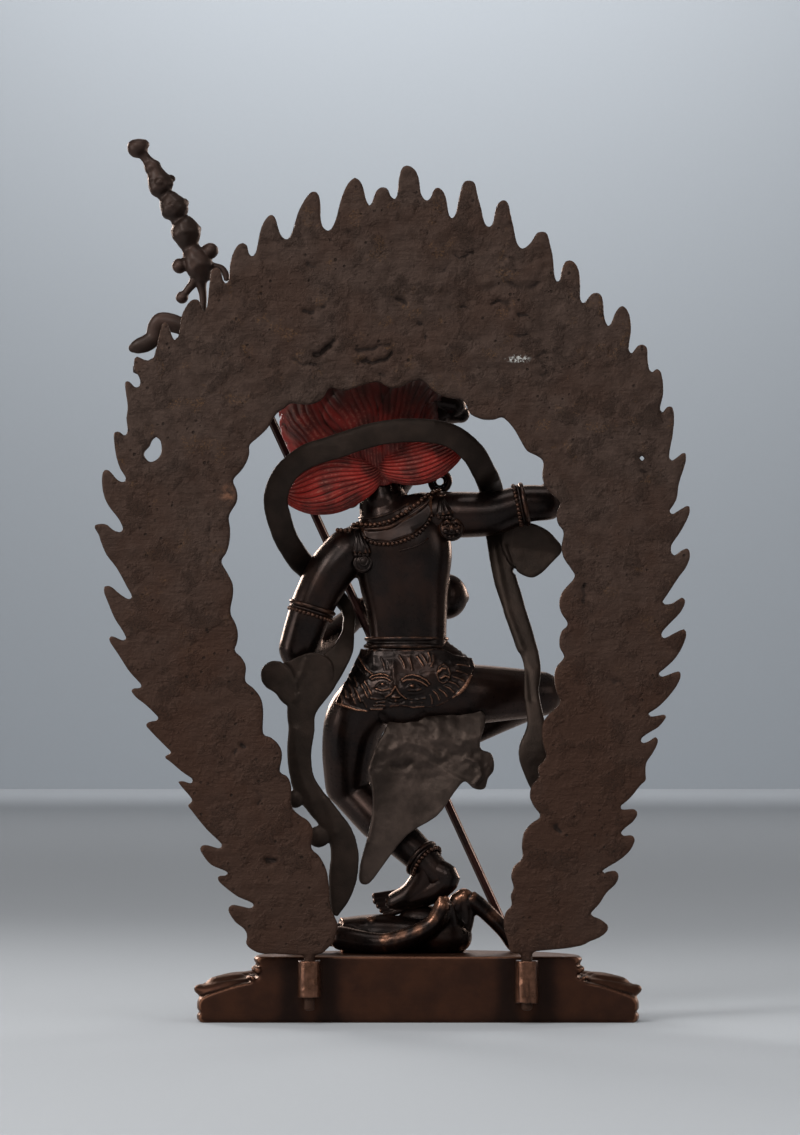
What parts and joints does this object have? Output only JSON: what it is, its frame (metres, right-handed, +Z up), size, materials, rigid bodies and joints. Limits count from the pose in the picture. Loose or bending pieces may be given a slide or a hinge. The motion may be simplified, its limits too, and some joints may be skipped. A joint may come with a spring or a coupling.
{
  "type": "vajravarahi statue",
  "caption": "Cast copper goddess dancing on a prostrate figure, on a lotus pedestal, with a staff, a long scarf and a flame aureole standing in sockets behind.",
  "frame": {"origin": "on the pedestal's flat underside, under the middle of its width", "axes": "+Z up; the goddess faces -Y, the aureole stands at +Y and her left is +X"},
  "size_m": [0.2199, 0.0856, 0.3353],
  "materials": {
    "dark_copper": "dark brown patina, rubbed to copper on the edges",
    "worn_copper": "bare worn copper",
    "rough_cast_copper": "rough as cast, brown patina",
    "dull_cast_metal": "matte, grey brown"
  },
  "bodies": {
    "root": {"pedestal": "dark_copper", "socket_left": "worn_copper", "socket_right": "worn_copper", "aureole": "rough_cast_copper", "prostrate_figure": "dark_copper", "goddess": "dark_copper", "staff": "dark_copper", "scarf": "dull_cast_metal"}
  },
  "joints": []
}
